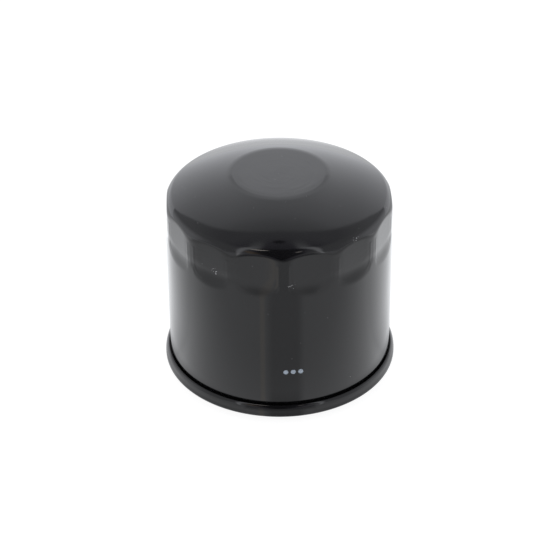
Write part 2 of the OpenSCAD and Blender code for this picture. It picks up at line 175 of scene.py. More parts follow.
class Tree:
    """A node tree that is filled by short calls."""

    def __init__(self, tree):
        self.tree = tree
        tree.nodes.clear()

    def node(self, kind, inputs=None, **settings):
        made = self.tree.nodes.new("ShaderNode" + kind)
        for name, value in settings.items():
            setattr(made, name, value)
        for key, value in (inputs or {}).items():
            if isinstance(value, bpy.types.NodeSocket):
                self.tree.links.new(value, made.inputs[key])
            else:
                made.inputs[key].default_value = value
        return made

    def math(self, operation, a, b=0.0):
        return self.node("Math", {0: a, 1: b}, operation=operation).outputs[0]

    def chain(self, operation, first, *others):
        for other in others:
            first = self.math(operation, first, other)
        return first

    def times(self, *factors):
        return self.chain("MULTIPLY", *factors)

    def plus(self, *terms):
        return self.chain("ADD", *terms)

    def less(self, a, b):
        return self.math("SUBTRACT", a, b)

    def over(self, a, b):
        return self.math("DIVIDE", a, b)

    def most(self, *values):
        return self.chain("MAXIMUM", *values)

    def least(self, *values):
        return self.chain("MINIMUM", *values)

    def square(self, value):
        return self.math("MULTIPLY", value, value)

    def size(self, value):
        return self.math("ABSOLUTE", value)

    def off(self, value, middle):
        """How far a value lies from a middle, on either side."""
        return self.size(self.less(value, middle))

    def remap(self, value, low, high, to_low=0.0, to_high=1.0):
        """The value's place between low and high, eased, as a level between the other two."""
        inputs = {"Value": value, "From Min": low, "From Max": high, "To Min": to_low, "To Max": to_high}
        return self.node("MapRange", inputs, interpolation_type="SMOOTHSTEP").outputs["Result"]

    def mix(self, share, a, b):
        made = self.node("Mix", data_type="RGBA")
        ends = [s for s in made.inputs if s.type == "RGBA"]
        for socket, value in zip([made.inputs[0], *ends], (share, a, b)):
            if isinstance(value, bpy.types.NodeSocket):
                self.tree.links.new(value, socket)
            else:
                socket.default_value = value
        return next(s for s in made.outputs if s.type == "RGBA")

    def either(self, share, a, b):
        """Shader a, or b by that share."""
        return self.node("MixShader", {0: share, 1: a, 2: b}).outputs[0]

    def faded(self, shader, share):
        """That share of a shader's light."""
        nothing = self.node("Emission", {"Strength": 0.0}).outputs[0]
        return self.either(share, nothing, shader)

    def place(self):
        return self.node("TexCoord").outputs["Object"]

    def xyz(self, vector):
        return self.node("SeparateXYZ", {0: vector}).outputs

    def length(self, vector):
        return self.node("VectorMath", {0: vector}, operation="LENGTH").outputs["Value"]

    def noise(self, size, detail=3.0, roughness=0.5, where=None, stretch=(1, 1, 1)):
        """Noise with features of about that size in metres, from 0 to 1."""
        where = where or self.place()
        scaled = self.node("Mapping", {"Vector": where, "Scale": stretch}).outputs["Vector"]
        inputs = {"Vector": scaled, "Scale": 1 / size, "Detail": detail, "Roughness": roughness}
        return self.node("TexNoise", inputs).outputs["Fac"]

    def bump(self, height, depth, below=None):
        inputs = {"Height": height, "Distance": depth, "Strength": 1.0}
        if below is not None:
            inputs["Normal"] = below
        return self.node("Bump", inputs).outputs["Normal"]


def grey(value, tint=(1, 1, 1)):
    return (value * tint[0], value * tint[1], value * tint[2], 1)


def new_material(name):
    material = bpy.data.materials.new(name)
    material.use_nodes = True
    return material, Tree(material.node_tree)


def close(tree, **inputs):
    """Ends a material in a Principled shader with those inputs, underscores for spaces."""
    named = {key.replace("_", " "): value for key, value in inputs.items()}
    shader = tree.node("BsdfPrincipled", named).outputs["BSDF"]
    tree.node("OutputMaterial", {"Surface": shader})


# ------------------------------------------------------------------ materials


def ink_mark(tree):
    """Mask of three plain round ink dots low on the front of the wall."""
    first_x, mark_z, step, dot_r = 0.6 * MM, 17.0 * MM, 2.1 * MM, 0.72 * MM
    dots, raggedness, edge_soft = 3.0, 0.12, 0.1
    x, y, z = tree.xyz(tree.place())
    along = tree.over(tree.less(x, first_x), step)
    across = tree.over(tree.less(z, mark_z), step)
    cell = tree.less(tree.math("FRACT", along), 0.5)
    away = tree.math("SQRT", tree.plus(tree.square(cell), tree.square(across)))
    ragged = tree.times(tree.noise(0.25 * MM), raggedness)
    edge = dot_r / step
    dot = tree.remap(tree.plus(away, ragged), edge + edge_soft, edge)
    in_row = tree.times(tree.math("GREATER_THAN", along, 0.0), tree.math("LESS_THAN", along, dots))
    return tree.times(dot, in_row, tree.math("LESS_THAN", y, 0.0))


def ring_noise(tree):
    """Noise drawn out round the can's axis, as the dome's drawing marks are."""
    x, y, _ = tree.xyz(tree.place())
    out = tree.length(tree.node("CombineXYZ", {0: x, 1: y, 2: 0.0}).outputs[0])
    round_x, round_y = (tree.times(tree.over(side, out), 1.5 * MM) for side in (x, y))
    where = tree.node("CombineXYZ", {0: out, 1: round_x, 2: round_y}).outputs[0]
    return tree.noise(0.9 * MM, detail=3.0, where=where)


def dust_patches(tree):
    """Mask of the three small patches where dust lies on the front of the can."""
    nearest = None
    for spot in ((-17.9, -26.8, 47.7), (3.5, -32.4, 46.2), (21.4, -24.3, 56.3)):
        ends = {0: tree.place(), 1: Vector(spot) * MM}
        away = tree.node("VectorMath", ends, operation="DISTANCE").outputs["Value"]
        nearest = away if nearest is None else tree.least(nearest, away)
    return tree.remap(nearest, 1.8 * MM, 0.5 * MM)


def press_marks(tree, below):
    """Bump of the marks that the tools left in the flutes and, finer, round the dome."""
    height = tree.xyz(tree.place())[2]
    foot, head = FLUTE_Z + 1.5 * MM, FLUTE_Z + 7.5 * MM
    in_flutes = tree.times(tree.remap(height, FLUTE_Z, foot), tree.remap(height, head + 1.5 * MM, head))
    pressed = tree.times(tree.noise(1.3 * MM, detail=2.0, stretch=(0.6, 0.6, 1.5)), in_flutes)
    in_dome = tree.remap(height, TOP - DOME_RISE, TOP - DOME_RISE + 2 * MM)
    on_flat = tree.remap(height, TOP - 0.5 * MM, TOP - 0.1 * MM, 1.0, 6.0)
    rings = tree.times(ring_noise(tree), in_dome, on_flat)
    return tree.bump(rings, 1.7e-6, tree.bump(pressed, 12e-6, below))


def black_paint(name, on_can):
    """Stoved gloss black: slight orange peel, faint draw lines and a little dust."""
    material, tree = new_material(name)
    peel = tree.bump(tree.noise(1.6 * MM, detail=2.0), 1.2e-6)
    drawn = tree.bump(tree.noise(0.8 * MM, detail=4.0, stretch=(1, 1, 0.06)), 0.5e-6, peel)
    waves = tree.bump(tree.noise(9 * MM, detail=1.0), 9e-6, drawn)
    if on_can:
        waves = press_marks(tree, waves)
    haze = tree.noise(6 * MM, detail=5.0)
    base = tree.mix(haze, grey(0.005), grey(0.008, (1, 1, 1.1)))
    dusty = tree.times(dust_patches(tree), 0.27)
    specks = tree.remap(tree.plus(tree.noise(0.4 * MM, detail=0.0), dusty), 0.905, 0.93)
    base = tree.mix(specks, base, grey(0.35))
    if on_can:
        base = tree.mix(ink_mark(tree), base, (0.5, 0.58, 0.66, 1))
    rough = tree.remap(haze, 0.3, 0.7, 0.045, 0.075)
    close(tree, Base_Color=base, Roughness=rough, IOR=1.5, Normal=waves)
    return material


def bare_metal(name, tone, grain, rough, stretch=(1, 1, 1), grain_depth=1.5e-6):
    """Plated or plain steel with a fine directional grain and cloudy tarnish."""
    material, tree = new_material(name)
    cloud = tree.noise(5 * MM, detail=5.0)
    lines = tree.noise(grain, detail=4.0, stretch=stretch)
    base = tree.mix(cloud, grey(tone * 0.86, (1, 1, 1.01)), grey(tone * 1.08, (1.01, 1, 0.99)))
    base = tree.mix(tree.remap(lines, 0.35, 0.65), base, grey(tone * 0.92))
    roughness = tree.remap(lines, 0.25, 0.75, rough - 0.06, rough + 0.1)
    normal = tree.bump(lines, grain_depth)
    close(tree, Base_Color=base, Metallic=1.0, Roughness=roughness, Normal=normal)
    return material


def rubber(name):
    """Moulded nitrile: matt, with a fine grain and a chalky bloom."""
    material, tree = new_material(name)
    bloom = tree.noise(4 * MM, detail=6.0, roughness=0.6)
    base = tree.mix(tree.remap(bloom, 0.45, 0.75), grey(0.014), grey(0.034))
    grain = tree.bump(tree.noise(0.15 * MM, detail=3.0), 6e-6)
    rough = tree.remap(bloom, 0.3, 0.7, 0.5, 0.68)
    close(tree, Base_Color=base, Roughness=rough, IOR=1.5, Normal=grain)
    return material


def filter_paper(name):
    """Resin-treated paper: fibres, blotches of resin and a matt face."""
    material, tree = new_material(name)
    fibre = tree.noise(0.35 * MM, detail=6.0, roughness=0.7, stretch=(1, 1, 0.4))
    resin = tree.noise(6 * MM, detail=4.0)
    base = tree.mix(resin, (0.74, 0.5, 0.2, 1), (0.62, 0.38, 0.13, 1))
    base = tree.mix(tree.remap(fibre, 0.55, 0.8), base, (0.86, 0.68, 0.38, 1))
    normal = tree.bump(fibre, 30e-6)
    close(tree, Base_Color=base, Roughness=0.85, IOR=1.45, Normal=normal)
    return material


def sealant(name):
    """Cured plastisol: brown, slightly glossy, with small pits."""
    material, tree = new_material(name)
    blotch = tree.noise(3 * MM, detail=4.0)
    pits = tree.noise(0.5 * MM, detail=2.0)
    base = tree.mix(blotch, (0.17, 0.085, 0.035, 1), (0.12, 0.055, 0.022, 1))
    normal = tree.bump(pits, 25e-6)
    rough = tree.remap(pits, 0.3, 0.7, 0.3, 0.5)
    close(tree, Base_Color=base, Roughness=rough, IOR=1.48, Normal=normal)
    return material


# ------------------------------------------------------------------ mesh helpers


def arc(centre, radius, start, end, steps):
    """Points of an arc in the (r, z) half plane, both ends included. Angles in degrees."""
    angles = np.radians(np.linspace(start, end, steps + 1))
    return [(centre[0] + radius * math.cos(a), centre[1] + radius * math.sin(a)) for a in angles]


def line(start, end, steps):
    """Points between two ends, both included."""
    shares = np.linspace(0, 1, steps + 1)
    return [(start[0] + (end[0] - start[0]) * s, start[1] + (end[1] - start[1]) * s) for s in shares]


def joined(*runs):
    """Runs of points as one list, without the doubled ones where two runs meet."""
    points = []
    for run in runs:
        for point in run:
            if not points or math.dist(point, points[-1]) > 1e-7:
                points.append(point)
    return points


def turns_of(columns):
    return np.arange(columns) * 2 * math.pi / columns


def lathe(name, rows, columns, sharp=40):
    """Closed ring of rows turned about the z axis. A row is (r, z), where r may differ by column."""
    radii = np.stack([np.broadcast_to(r, columns) for r, z in rows])
    heights = np.repeat(np.array([[z] for r, z in rows]), columns, axis=1)
    turn = turns_of(columns)
    points = np.stack([radii * np.cos(turn), radii * np.sin(turn), heights], axis=-1).reshape(-1, 3)
    index = np.arange(len(rows) * columns).reshape(len(rows), columns)
    poles = radii.max(axis=1) < 1e-9
    index[poles] = index[poles][:, :1]
    here, below = index, np.roll(index, -1, axis=0)
    quads = np.stack([here, below, np.roll(below, -1, axis=1), np.roll(here, -1, axis=1)], axis=-1)
    quads = quads[~(poles & np.roll(poles, -1))].reshape(-1, 4)
    faces = [list(dict.fromkeys(face)) for face in quads.tolist()]
    used = sorted({i for face in faces for i in face})
    new_index = {old: new for new, old in enumerate(used)}
    faces = [[new_index[i] for i in face] for face in faces]
    return solid(name, points[used], faces, sharp)


def solid(name, points, faces, sharp=40):
    """Mesh object with outward faces, smooth but for edges sharper than that angle in degrees."""
    mesh = bpy.data.meshes.new(name)
    mesh.from_pydata(np.asarray(points).tolist(), [], faces)
    work = bmesh.new()
    work.from_mesh(mesh)
    if work.calc_volume(signed=True) < 0:
        bmesh.ops.reverse_faces(work, faces=work.faces[:])
    work.to_mesh(mesh)
    work.free()
    mesh.shade_smooth()
    mesh.set_sharp_from_angle(angle=math.radians(sharp))
    made = bpy.data.objects.new(name, mesh)
    bpy.context.scene.collection.objects.link(made)
    return made


def dress(piece, material):
    piece.data.materials.clear()
    piece.data.materials.append(material)
    return piece


def smooth_min(a, b, soft):
    """The lesser of a and b, rounded where they are within soft of each other."""
    near = np.maximum(soft - np.abs(a - b), 0) / soft
    return np.minimum(a, b) - near * near * soft / 4


# ------------------------------------------------------------------ can


def dome_arcs():
    """Centres, radii and angles of the shoulder, crown and edge arcs of the can's outside."""
    shoulder_c = np.array([CAN_R - SHOULDER_R, TOP - DOME_RISE])
    normal = np.array([math.cos(SHOULDER_TURN), math.sin(SHOULDER_TURN)])
    start = shoulder_c + SHOULDER_R * normal
    span = np.array([FLAT_R, TOP]) - start
    crown_r = -(span @ span) / (2 * (span @ normal))
    crown_c = start - crown_r * normal
    edge_z = TOP - FLAT_EDGE_R
    edge_x = crown_c[0] + math.sqrt((crown_r - FLAT_EDGE_R) ** 2 - (edge_z - crown_c[1]) ** 2)
    edge_c = np.array([edge_x, edge_z])
    edge_turn = math.degrees(math.atan2(*(edge_c - crown_c)[::-1]))
    return shoulder_c, crown_c, crown_r, edge_c, edge_turn


def foot_centre():
    """Centre of the folds at the seam's foot."""
    return (CAN_R + SEAM_GAP + SHEET / 2, lid_low.z + FOOT_FOLD_R)


def head_centre():
    """Centre of the lid's fold at the seam's head."""
    return (can_high.x - SHEET / 2, lid_high.z - HEAD_FOLD_R)


def seam_head():
    """Outside of the seam's head: inner slope, crest, brow and bowed face, from the top down."""
    face_turn, brow_turn = math.radians(SEAM_FACE_TURN), math.radians(SEAM_BROW_TURN)
    top = lid_high.z - SEAM_SINK
    face_step, brow_step = SEAM_FACE_R - SEAM_BROW_R, SEAM_BROW_R - SEAM_CREST_R
    face_x = lid_high.x - SEAM_FACE_R
    brow_x = face_x + face_step * math.cos(face_turn)
    crest_x = brow_x + brow_step * math.cos(brow_turn)
    crest_z = top - SEAM_CREST_R
    brow_z = crest_z - brow_step * math.sin(brow_turn)
    face_z = brow_z - face_step * math.sin(face_turn)
    inner_x = head_centre()[0] - HEAD_FOLD_R
    return joined(
        line((inner_x, top - 0.3 * (crest_x - inner_x)), (crest_x - 0.2 * SEAM_CREST_R, top), 3),
        arc((crest_x, crest_z), SEAM_CREST_R, 90, SEAM_BROW_TURN, 6),
        arc((brow_x, brow_z), SEAM_BROW_R, SEAM_BROW_TURN, SEAM_FACE_TURN, 14),
        arc((face_x, face_z), SEAM_FACE_R, SEAM_FACE_TURN, 0, 10),
    )


def can_outline(inset, fine):
    """Half section from the middle of the dome to the end of the body hook, fine steps a mm."""
    shoulder_c, crown_c, crown_r, edge_c, edge_turn = dome_arcs()
    shoulder_turn = math.degrees(SHOULDER_TURN)
    foot = foot_centre()
    wall_r = CAN_R - inset
    fold_r = foot[0] - CAN_R + inset
    press_z = FLUTE_Z - FLUTE_RUN_R
    hook_z = head_centre()[1] - HOOK_RELIEF

    def steps(length):
        return max(2, round(length / MM * fine))

    return joined(
        line((0, TOP - inset), (edge_c[0], TOP - inset), 6),
        arc(edge_c, FLAT_EDGE_R - inset, 90, edge_turn, steps(3 * MM)),
        arc(crown_c, crown_r - inset, edge_turn, shoulder_turn, steps(14 * MM)),
        arc(shoulder_c, SHOULDER_R - inset, shoulder_turn, 0, steps(14 * MM)),
        line((wall_r, shoulder_c[1]), (wall_r, press_z), steps(24 * MM)),
        line((wall_r, press_z), (wall_r, lid_high.z + NECK_RISE), 8),
        arc((CAN_R - NECK_BEND_R, lid_high.z + NECK_RISE), NECK_BEND_R - inset, 0, -NECK_TURN, 10),
        line((wall_r, (foot[1] + lid_high.z) / 2), (wall_r, foot[1]), 2),
        arc(foot, fold_r, 180, 360, 12),
        line((foot[0] + fold_r, foot[1]), (foot[0] + fold_r, hook_z), 2),
    )


def press_flutes(outline, inset, turn):
    """Radii by column of each row of the outline, once the flutes are pressed in."""
    pitch = 2 * math.pi / FLUTES
    off = (turn - FLUTE_TURN + pitch / 2) % pitch - pitch / 2
    aside = np.abs((CAN_R - FLUTE_DEPTH) * np.tan(off))
    in_corner = np.clip(aside - (FLUTE_HALF_W - FLUTE_CORNER_R), 0, FLUTE_CORNER_R)
    corner_rise = FLUTE_CORNER_R - np.sqrt(FLUTE_CORNER_R**2 - in_corner**2)
    bead_top, soft_top = TOP - DOME_RISE - 1 * MM, FLUTE_Z + 2 * MM
    bead_fade, flat_end_r = 0.8 * FLUTE_DEPTH, 0.8 * CAN_R
    rows = []
    for r, z in outline:
        below = np.clip(FLUTE_Z + corner_rise - z, 0, FLUTE_RUN_R)
        run_out = FLUTE_RUN_R - np.sqrt(FLUTE_RUN_R**2 - below**2)
        plane = (CAN_R - FLUTE_DEPTH - inset + run_out) / np.cos(off)
        soft = np.interp(z, (FLUTE_Z, soft_top), (FLUTE_FOOT_SOFT, FLUTE_SOFT))
        along_edge = np.exp(-(((plane - r) / FLUTE_BEAD_REACH) ** 2))
        bead = FLUTE_BEAD * along_edge * np.clip(1 - run_out / bead_fade, 0, 1) if z < bead_top else 0
        pressed = z > FLUTE_Z - FLUTE_RUN_R and r > flat_end_r
        rows.append((smooth_min(r, plane, soft) + bead if pressed else r, z))
    return rows


def can():
    """The drawn can as one sheet, finer outside than inside."""
    columns = FLUTES * FLUTE_COLUMNS
    turn = turns_of(columns)
    outside = press_flutes(can_outline(0, 2.6), 0, turn)
    inside = press_flutes(can_outline(SHEET, 1.0), SHEET, turn)
    return lathe("can_shell", outside + inside[::-1], columns, sharp=75)


# ------------------------------------------------------------------ lid and gasket


def lid_outline(shows):
    """The lid from the end of its cover hook to its inner lip: the side that shows, or the other one."""
    head, foot = head_centre(), foot_centre()
    out = 0 if shows else SHEET
    wall_r = lid_high.x - out
    chuck_r = foot[0] - FOOT_FOLD_R + out
    bend_r = GROOVE_BEND_R + out
    bend_z = gasket_high.z - GROOVE_BEND_R
    chuck_bend = foot[0] - FOOT_FOLD_R - GROOVE_BEND_R
    lip_bend = chuck_bend + GROOVE_BEND_R - 2 * GASKET_CLEAR - GASKET_W + GROOVE_BEND_R
    hook_z = foot[1] + HOOK_RELIEF - SHEET / 2 - SEAM_GAP
    hook_r = head[0] - HEAD_FOLD_R + out
    return joined(
        line((hook_r, hook_z), (hook_r, head[1]), 2),
        seam_head() if shows else arc(head, HEAD_FOLD_R - SHEET, 180, 0, 16),
        line((wall_r, foot[1] + SHEET / 2), (wall_r, foot[1]), 2),
        arc(foot, FOOT_FOLD_R - out, 360, 180, 24),
        line((chuck_r, foot[1]), (chuck_r, bend_z), 2),
        arc((chuck_bend, bend_z), bend_r, 0, 90, 8),
        line((chuck_bend, bend_z + bend_r), (lip_bend, bend_z + bend_r), 3),
        arc((lip_bend, bend_z), bend_r, 90, 180, 8),
        line((lip_bend - bend_r, bend_z), (lip_bend - bend_r, gasket_high.z - LIP_DEPTH), 3),
    )


def lid():
    return lathe("lid_shell", lid_outline(True) + lid_outline(False)[::-1], 256)


def gasket():
    """Square-cut ring with round edges."""
    outer, inner = gasket_high.x, gasket_high.x - GASKET_W
    low, high, turn = gasket_low.z, gasket_high.z, GASKET_ROUND
    outline = joined(
        arc((outer - turn, high - turn), turn, 0, 90, 8),
        arc((inner + turn, high - turn), turn, 90, 180, 8),
        arc((inner + turn, low + turn), turn, 180, 270, 8),
        arc((outer - turn, low + turn), turn, 270, 360, 8),
    )
    return lathe("sealing_ring", outline, 192)


# ------------------------------------------------------------------ base plate


def thread_rows(low, high, minor, turn):
    """Rows of the threaded wall: a right-hand helical groove that fades out at both ends."""
    rows_a_pitch, steepness = 14, 1.25
    rows = []
    for z in np.linspace(low, high, round((high - low) / THREAD_PITCH * rows_a_pitch) + 1):
        phase = (z / THREAD_PITCH - turn / (2 * math.pi)) % 1
        rise = 1 - np.abs(2 * phase - 1)
        flank = np.clip(rise * steepness - (steepness - 1) / 2, 0, 1)
        fade = np.clip(min(z - low, high - z) / (0.5 * THREAD_PITCH), 0, 1)
        rows.append((minor + THREAD_DEPTH * flank * fade, z))
    return rows


def base_plate():
    """The plate with its drawn and threaded neck and its inlet holes."""
    columns = 160
    minor = THREAD_R - THREAD_DEPTH
    plate_top, neck_top = plate_low.z + PLATE_T, plate_high.z
    thread_low, thread_high = plate_low.z + MOUTH_R, neck_top - NECK_CHAMFER
    fillet_c = (NECK_R + NECK_FILLET, plate_top + NECK_FILLET)
    rim = plate_high.x
    rim_round = 0.5 * MM
    rows = thread_rows(thread_low, thread_high, minor, turns_of(columns)) + joined(
        line((minor + NECK_CHAMFER, neck_top), (NECK_R - NECK_CHAMFER, neck_top), 1),
        arc((NECK_R - NECK_CHAMFER, neck_top - NECK_CHAMFER), NECK_CHAMFER, 90, 0, 5),
        arc(fillet_c, NECK_FILLET, 180, 270, 8),
        line((fillet_c[0], plate_top), (rim - rim_round, plate_top), 4),
        arc((rim - rim_round, plate_top - rim_round), rim_round, 90, 0, 5),
        line((rim, plate_low.z + SHEET), (rim, plate_low.z), 1),
        line((rim, plate_low.z), (minor + MOUTH_R, plate_low.z), 4),
        arc((minor + MOUTH_R, thread_low), MOUTH_R, 270, 180, 8)[:-1],
    )
    plate = lathe("threaded_plate", rows, columns)
    cut(plate, [inlet_cutter(i, plate_low.z, plate_top) for i in range(INLETS)])
    return plate


def inlet_cutter(number, low, high):
    """Round punch with flared ends for one inlet hole."""
    flare = INLET_R + INLET_BEVEL
    profile = [(0, low - MM), (flare, low - MM), (flare, low), (INLET_R, low + INLET_BEVEL)]
    profile += [(INLET_R, high - INLET_BEVEL), (flare, high), (flare, high + MM / 2), (0, high + MM / 2)]
    punch = lathe(f"punch_{number}", profile, 40)
    angle = number * 2 * math.pi / INLETS
    place = Matrix.Translation((INLET_PITCH_R * math.cos(angle), INLET_PITCH_R * math.sin(angle), 0))
    punch.data.transform(place)
    return punch


def cut(piece, cutters):
    """Takes the cutters out of the piece, and keeps the result as its mesh."""
    for cutter in cutters:
        boolean = piece.modifiers.new(cutter.name, "BOOLEAN")
        boolean.operation = "DIFFERENCE"
        boolean.solver = "EXACT"
        boolean.object = cutter
    shown = piece.evaluated_get(bpy.context.evaluated_depsgraph_get())
    mesh = bpy.data.meshes.new_from_object(shown)
    piece.modifiers.clear()
    piece.data = mesh
    mesh.set_sharp_from_angle(angle=math.radians(40))
    for cutter in cutters:
        bpy.data.objects.remove(cutter)


# ------------------------------------------------------------------ inner moving pieces


def drainback_sleeve():
    """The thick part of the rubber valve, fixed on the plate's neck."""
    inner, outer = NECK_R + SLEEVE_CLEAR, NECK_R + SLEEVE_CLEAR + SLEEVE_T
    top, edge = valve_high.z, 0.3 * MM
    flange_r = outer + 2 * edge
    outline = joined(
        line((inner, SLEEVE_Z - SLEEVE_FOOT), (inner, top), 4),
        arc((outer - edge, top - edge), edge, 90, 0, 4),
        line((outer, top - edge), (outer, SLEEVE_Z + edge), 3),
        arc((outer + edge, SLEEVE_Z + edge), edge, 180, 270, 4),
        line((flange_r, SLEEVE_Z), (flange_r, SLEEVE_Z - SLEEVE_FOOT), 2),
    )
    return lathe("drainback_sleeve", outline, 128)


def drainback_skirt():
    """The thin skirt that lies over the inlet holes and lifts off them."""
    rim, low, lip_r = valve_high.x, valve_low.z, 0.3 * MM
    bend_r, bend_x = 1.2 * MM, SKIRT_SHOULDER_R - 1 * MM
    outline = joined(
        line((SKIRT_START_R, SKIRT_Z), (bend_x, SKIRT_Z), 3),
        arc((bend_x, SKIRT_Z - bend_r), bend_r, 90, 50, 5),
        line((SKIRT_SHOULDER_R + 0.6 * MM, SKIRT_Z - 0.6 * MM), (rim - 0.9 * MM, low + 0.62 * MM), 6),
        arc((rim - lip_r, low + lip_r), lip_r, 60, -90, 6),
        line((rim - 0.4 * MM, low), (rim - 1.6 * MM, low), 2),
        line((rim - 1.7 * MM, low + 0.02 * MM), (SKIRT_SHOULDER_R, SKIRT_Z - 1.5 * SKIRT_T), 6),
        line((SKIRT_SHOULDER_R - 0.5 * MM, SKIRT_Z - 1.4 * SKIRT_T), (SKIRT_START_R, SKIRT_Z - SKIRT_T), 4),
    )
    return lathe("drainback_skirt_rubber", outline, 160)


def coil_spring():
    """Round wire with closed end turns, as the CAD spring but with a smooth section."""
    steps, sides = 64, 16
    mean_r = spring_high.x - WIRE_R
    height = spring_high.z - spring_low.z - 2 * WIRE_R
    pitch = (height - 2 * CLOSED_PITCH) / (SPRING_TURNS - 2)
    turn = np.linspace(0, SPRING_TURNS, round(SPRING_TURNS * steps) + 1)
    rise = CLOSED_PITCH * np.minimum(turn, 1) + pitch * np.clip(turn - 1, 0, SPRING_TURNS - 2)
    rise += CLOSED_PITCH * np.maximum(turn - (SPRING_TURNS - 1), 0)
    section = turns_of(sides)
    radius = mean_r + WIRE_R * np.cos(section)
    angle = (turn * 2 * math.pi)[:, None]
    z = spring_low.z + WIRE_R + rise[:, None] + WIRE_R * np.sin(section)
    points = np.stack([radius * np.cos(angle), radius * np.sin(angle), z], axis=-1).reshape(-1, 3)
    faces = []
    for here in range(0, (len(turn) - 1) * sides, sides):
        there = here + sides
        for k in range(sides):
            n = (k + 1) % sides
            faces.append([here + k, here + n, there + n, there + k])
    faces.append(list(range(sides))[::-1])
    faces.append([(len(turn) - 1) * sides + k for k in range(sides)])
    return solid("bypass_coil", points, faces)


# ------------------------------------------------------------------ stage


def studio():
    """World, by direction: a bright wall behind that fades overhead, dimmer sides, and a dark window
    in front with a bright edge, where the photographer stands.
    Side and deep are the direction's stereographic coordinates, 0 straight up. Across is side's size."""
    world = bpy.data.worlds.new("studio")
    bpy.context.scene.world = world
    world.use_nodes = True
    tree = Tree(world.node_tree)
    x, y, z = tree.xyz(tree.node("TexCoord").outputs["Generated"])
    height = tree.plus(tree.most(z, -0.5), 1.0)
    side, deep = tree.over(x, height), tree.over(y, height)
    across = tree.size(side)
    walls = [part(tree, across, deep) for part in (back_wall, tent_side, beside_window)]
    seen = tree.times(tree.most(*walls), tree.less(1.0, window(tree, across, deep)))
    seen = tree.plus(seen, window_edge(tree, across, deep))
    seen = tree.times(seen, tree.less(1.0, patch(tree, side, deep, *DARK_SLIT)))
    glint = tree.plus(patch(tree, side, deep, *LAMP), patch(tree, side, deep, *FAR_LAMP))
    brown = patch(tree, side, deep, *BROWN_THING)
    tint = tree.mix(tree.remap(seen, 0.1, 0.6), grey(1, (1.01, 0.962, 1.17)), grey(1, (0.985, 1.0, 1.05)))
    tint = tree.mix(tree.remap(glint, 0.3, 0.9), tint, grey(1, (1.08, 1.0, 0.93)))
    tint = tree.mix(tree.remap(brown, 0.02, 0.1), tint, grey(1, (1.2, 0.95, 0.75)))
    seen = tree.plus(seen, glint, brown)
    straight = tree.node("LightPath").outputs["Is Camera Ray"]
    color = tree.mix(straight, tint, grey(1.0))
    strength = tree.most(tree.times(seen, tree.less(1.0, straight)), straight)
    light = tree.node("Background", {"Color": color, "Strength": strength}).outputs["Background"]
    tree.node("OutputWorld", {"Surface": light})


def patch(tree, side, deep, middle, half, strength):
    """A soft oval patch of the room, with that strength in its middle."""
    u = tree.over(tree.less(side, middle[0]), half[0])
    v = tree.over(tree.less(deep, middle[1]), half[1])
    away = tree.plus(tree.square(u), tree.square(v))
    return tree.times(tree.remap(away, 1.2, 0.1), strength)


def ramp(tree, value, stops):
    """Piecewise level: stops are (position, level) pairs."""
    made = tree.node("ValToRGB", {"Fac": value})
    elements = made.color_ramp.elements
    for _ in stops[2:]:
        elements.new(0.5)
    for element, (position, level) in zip(elements, stops):
        element.position, element.color = position, grey(level)
    return made.outputs["Color"]


def back_wall(tree, across, deep):
    """Strength of the back wall: it steps down at an edge that bows away at the sides."""
    squared = tree.square(across)
    bow = tree.least(tree.plus(squared, tree.times(tree.square(squared), EDGE_BOW)), EDGE_BOW_LIMIT)
    above = tree.less(tree.less(deep, bow), WALL_EDGE)
    dim = tree.plus(ramp(tree, deep, DIM_WALL), tree.remap(across, 0.2, 0.34, 0.0, 0.22))
    lit = tree.times(ramp(tree, deep, LIT_WALL), tree.remap(across, 0.16, 0.3, 1.0, 0.9))
    lit = tree.plus(lit, mirrored_in_flat(tree, across, deep), tree.remap(across, 0.34, 0.42, 0.0, 0.35))
    return tree.mix(tree.remap(above, -0.008, 0.01), dim, lit)


def mirrored_in_flat(tree, across, deep):
    """Change of the back wall's strength in its middle, where the flat on the dome mirrors it."""
    brighter = tree.times(tree.remap(across, 0.0, 0.06, 0.18, 0.0), tree.remap(deep, 0.42, 0.55))
    brighter = tree.times(brighter, tree.remap(deep, 0.75, 0.62))
    dip = tree.times(tree.remap(across, 0.04, 0.2, 1.0, 0.0), tree.remap(deep, 0.38, 0.545))
    dip = tree.times(dip, tree.remap(deep, 0.557, 0.569, 0.45, 0.13), tree.remap(deep, 0.66, 0.6))
    return tree.less(brighter, dip)


def tent_side(tree, across, deep):
    """Strength of the tent's sides, dimmer in front and lifted a little near the table."""
    out = tree.times(tree.remap(across, 0.35, 0.7), tree.remap(deep, -0.3, 0.1, 0.05, 0.8))
    low = tree.remap(tree.plus(tree.square(across), tree.square(deep)), 0.65, 0.9, 0.0, 0.27)
    low = tree.times(low, tree.remap(across, 0.6, 0.8), tree.remap(deep, 0.05, -0.1))
    level = tree.plus(tree.remap(across, 0.06, 0.32, 0.2, 0.6), out, low)
    return tree.times(level, tree.remap(deep, -0.8, -0.5, 0.6, 1.0))


def beside_window(tree, across, deep):
    """Strength of the bright part of the room on either side of the window, low in front."""
    near = tree.most(tree.times(deep, -1.0), 0.01)
    aside = tree.remap(tree.over(across, near), 0.5, 0.7)
    return tree.times(aside, tree.remap(near, 0.35, 0.55), 0.95)


def window(tree, across, deep):
    """Share, from 0 to 0.8, by which the dim window darkens the front."""
    near = tree.times(deep, -1.0)
    widening = tree.plus(tree.times(near, 0.3), 0.08)
    narrowing = tree.less(0.33, tree.times(near, 0.28))
    inside = tree.less(tree.least(widening, narrowing), across)
    return tree.times(tree.remap(inside, -0.04, 0.03), tree.remap(deep, 0.05, -0.05, 0.0, 0.8))


